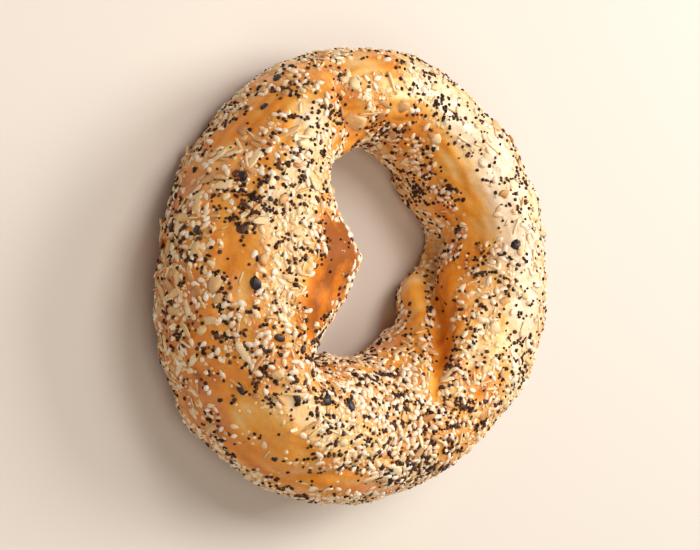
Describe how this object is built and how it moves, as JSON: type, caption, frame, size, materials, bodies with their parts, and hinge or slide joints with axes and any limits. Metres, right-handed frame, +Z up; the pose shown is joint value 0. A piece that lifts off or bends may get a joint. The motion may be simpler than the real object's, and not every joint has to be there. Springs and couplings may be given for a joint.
{
  "type": "everything bagel",
  "caption": "Hand-rolled bread ring with an oval hole, lapped seams in the dough and a crust of seeds, flakes and slivers, lying flat on its underside",
  "frame": {"origin": "middle of the flat underside, at the centre of the outline", "axes": "+Z is up, out of the shown side; +Y points to the seam where the two ends of the dough meet; -X is the widest stretch of the ring"},
  "size_m": [0.113, 0.1125, 0.0402],
  "materials": {
    "crust": "baked crust, orange-brown with a soft egg-wash gloss, under seeds and flakes"
  },
  "bodies": {
    "root": {"bagel": "crust"}
  },
  "joints": []
}
